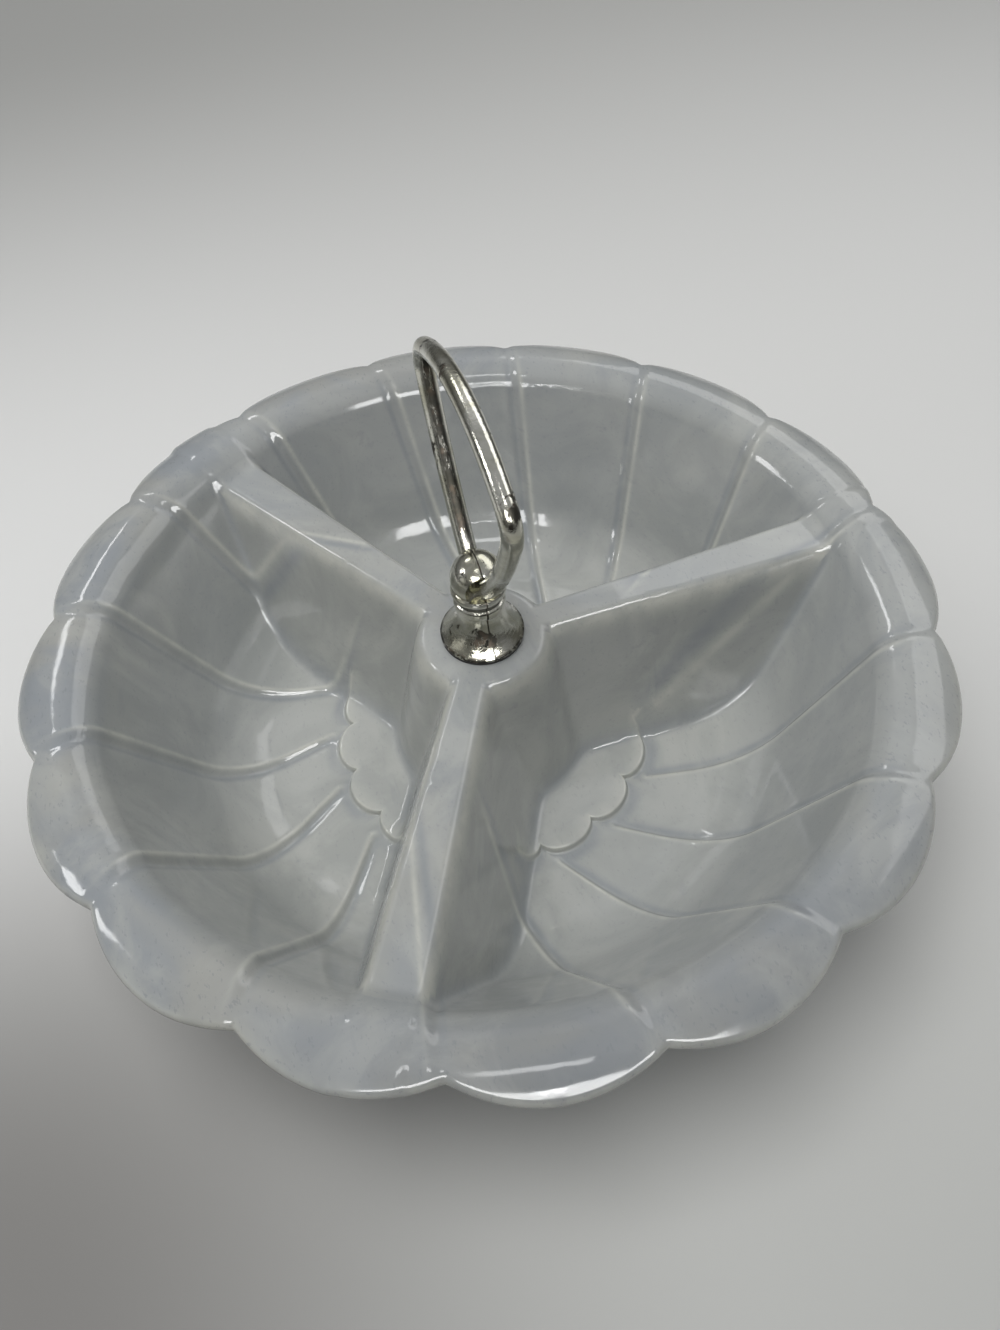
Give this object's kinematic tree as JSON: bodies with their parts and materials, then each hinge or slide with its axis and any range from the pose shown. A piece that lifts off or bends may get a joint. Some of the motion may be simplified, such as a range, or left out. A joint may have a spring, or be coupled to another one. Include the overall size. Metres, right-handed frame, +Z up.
{
  "type": "divided serving dish",
  "caption": "Scalloped glazed bowl with radial dividers and a raised hub, and a ball finial that carries a swinging wire bail.",
  "frame": {"origin": "on the dish's axis, at the surface it stands on", "axes": "+Z up; +X along the divider that meets a notch of the rim; the bail's hinge lies along Y"},
  "size_m": [0.2719, 0.2722, 0.1538],
  "materials": {
    "glaze": "glossy pale blue-grey glaze",
    "plated_silver": "polished silver plate, slightly tarnished",
    "gasket": "matt black",
    "brass": "machined",
    "steel": "zinc plated",
    "fibre": "matt pressed fibre"
  },
  "bodies": {
    "dish_body": {"dish": "glaze", "gasket": "gasket", "finial_left": "plated_silver", "finial_right": "plated_silver", "insert": "brass", "clamp_screw": "steel", "lock_washer": "steel", "steel_washer": "steel", "cushion_washer": "fibre"},
    "bail_body": {"bail": "plated_silver"}
  },
  "joints": [
    {"name": "bail_swing", "type": "hinge", "parent": "dish_body", "child": "bail_body", "pos_m": [0, 0, 0.0863], "axis": [0, 1, 0], "range_deg": [-100, 100]}
  ]
}
